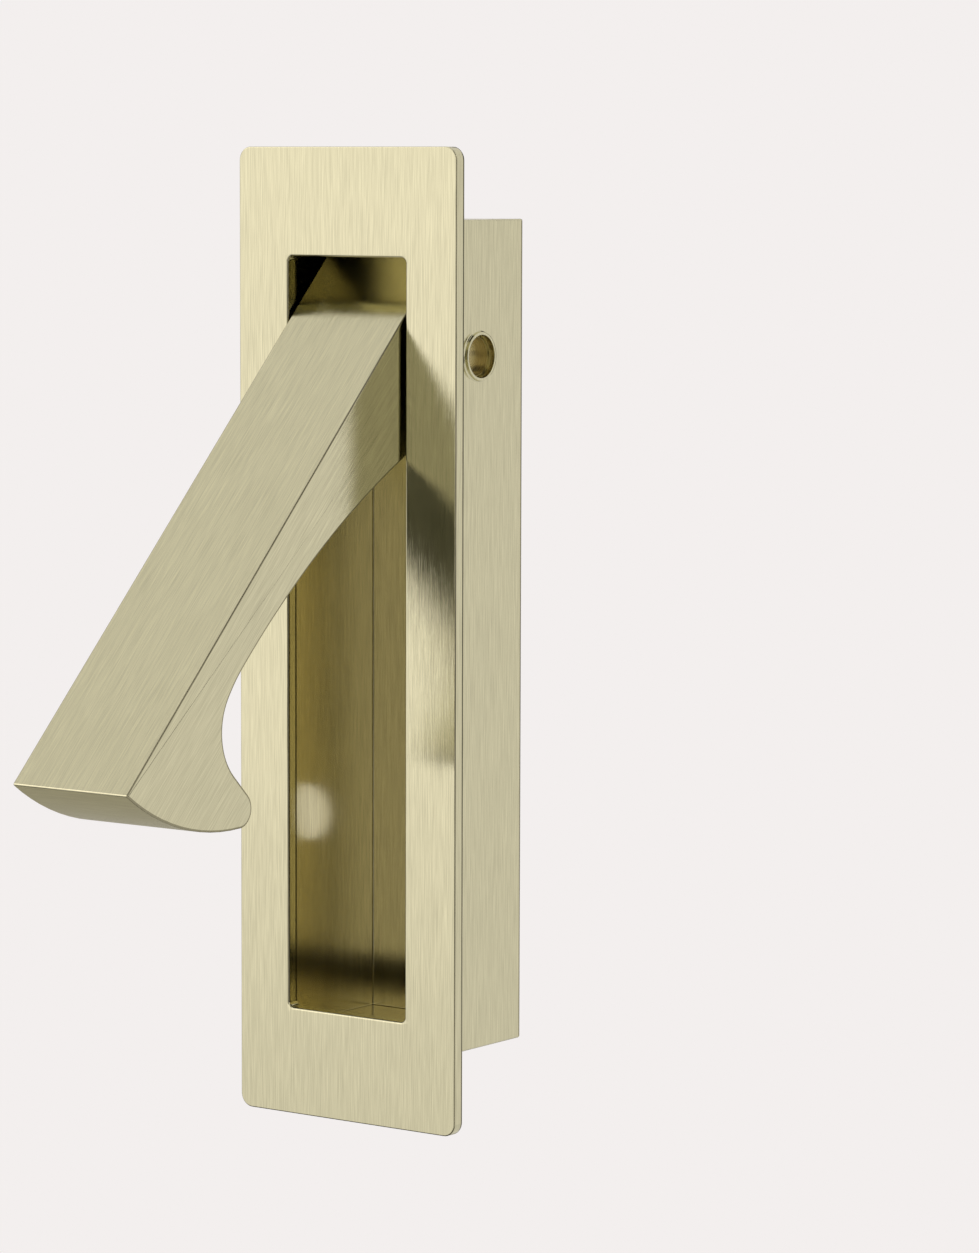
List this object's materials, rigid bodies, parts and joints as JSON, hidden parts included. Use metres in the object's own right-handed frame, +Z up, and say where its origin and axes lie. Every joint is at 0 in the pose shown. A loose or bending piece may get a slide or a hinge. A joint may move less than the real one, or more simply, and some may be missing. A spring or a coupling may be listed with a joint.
{
  "type": "pocket door pull",
  "caption": "Flush brass edge pull for a pocket door: a flat plate with a thin box behind it and a long hooked lever that swings out on a pin.",
  "frame": {"origin": "centre of the face plate's back, on the plane where it lies on the door's edge", "axes": "+X across the door's edge, to the right seen from the front; +Y into the door; +Z up, along the door's edge"},
  "size_m": [0.0318, 0.0689, 0.115],
  "materials": {
    "brushed_brass": "pale satin brass with a fine grain brushed along each piece",
    "pin_brass": "drawn brass rod, smooth",
    "bush_bronze": "plain turned bearing bronze",
    "spring_steel": "plain spring steel"
  },
  "bodies": {
    "frame": {"face_plate": "brushed_brass", "housing": "brushed_brass", "pivot_pin": "pin_brass"},
    "lever": {"pull_lever": "brushed_brass", "bush_left": "bush_bronze", "bush_right": "bush_bronze", "spring_washer_left": "spring_steel", "spring_washer_right": "spring_steel"}
  },
  "joints": [
    {"name": "lever_swing", "type": "hinge", "parent": "frame", "child": "lever", "pos_m": [0, 0.00925, 0.0331], "axis": [1, 0, 0], "range_deg": [0, 44.5]}
  ]
}
